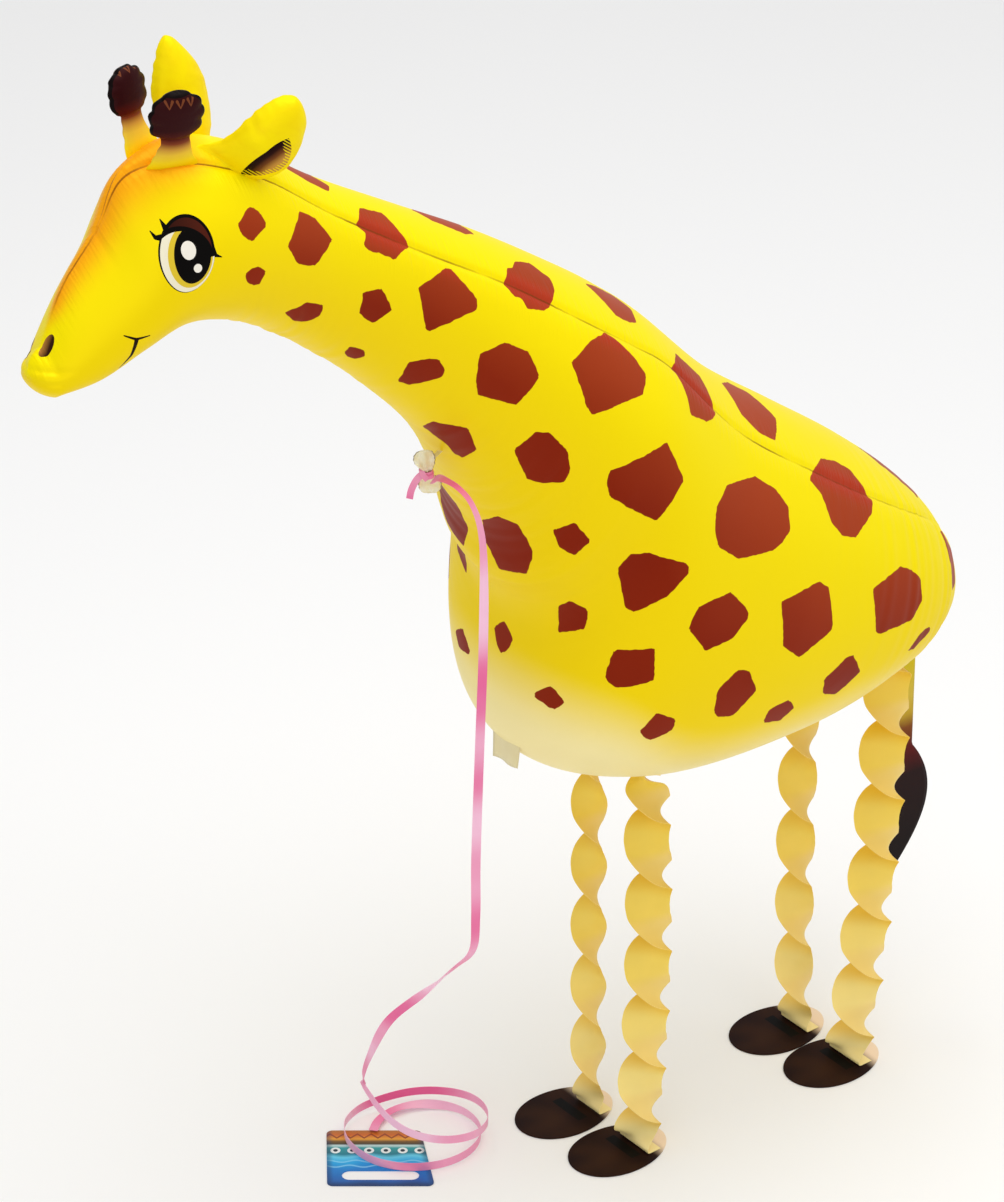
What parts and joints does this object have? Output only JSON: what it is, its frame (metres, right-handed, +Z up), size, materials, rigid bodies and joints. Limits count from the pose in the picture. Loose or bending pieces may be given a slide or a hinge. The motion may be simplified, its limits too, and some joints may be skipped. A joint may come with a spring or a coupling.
{
  "type": "walking giraffe balloon",
  "caption": "Walking pet balloon shaped as a giraffe: a sealed foil envelope on twisted paper legs with card feet, a curling ribbon leash and a slotted hand tag.",
  "frame": {"origin": "on the floor under the middle of the giraffe's width and length, measured without the ribbon and the tag", "axes": "+Z up, -Y the way the giraffe faces, +X its left side"},
  "size_m": [0.2285, 0.6976, 0.8612],
  "materials": {
    "yellow_foil": "glossy",
    "clear_film": "glossy",
    "pink_ribbon": "satin",
    "printed_card": "satin",
    "brown_card": "matte",
    "yellow_paper": "matte",
    "tail_card": "matte"
  },
  "bodies": {
    "root": {"balloon": "yellow_foil", "valve_tail": "clear_film", "ribbon_knot": "pink_ribbon", "ribbon": "pink_ribbon", "tag": "printed_card", "leg_front_left": "yellow_paper", "leg_front_right": "yellow_paper", "leg_rear_left": "yellow_paper", "leg_rear_right": "yellow_paper", "foot_front_left": "brown_card", "foot_front_right": "brown_card", "foot_rear_left": "brown_card", "foot_rear_right": "brown_card", "tail": "tail_card"}
  },
  "joints": []
}
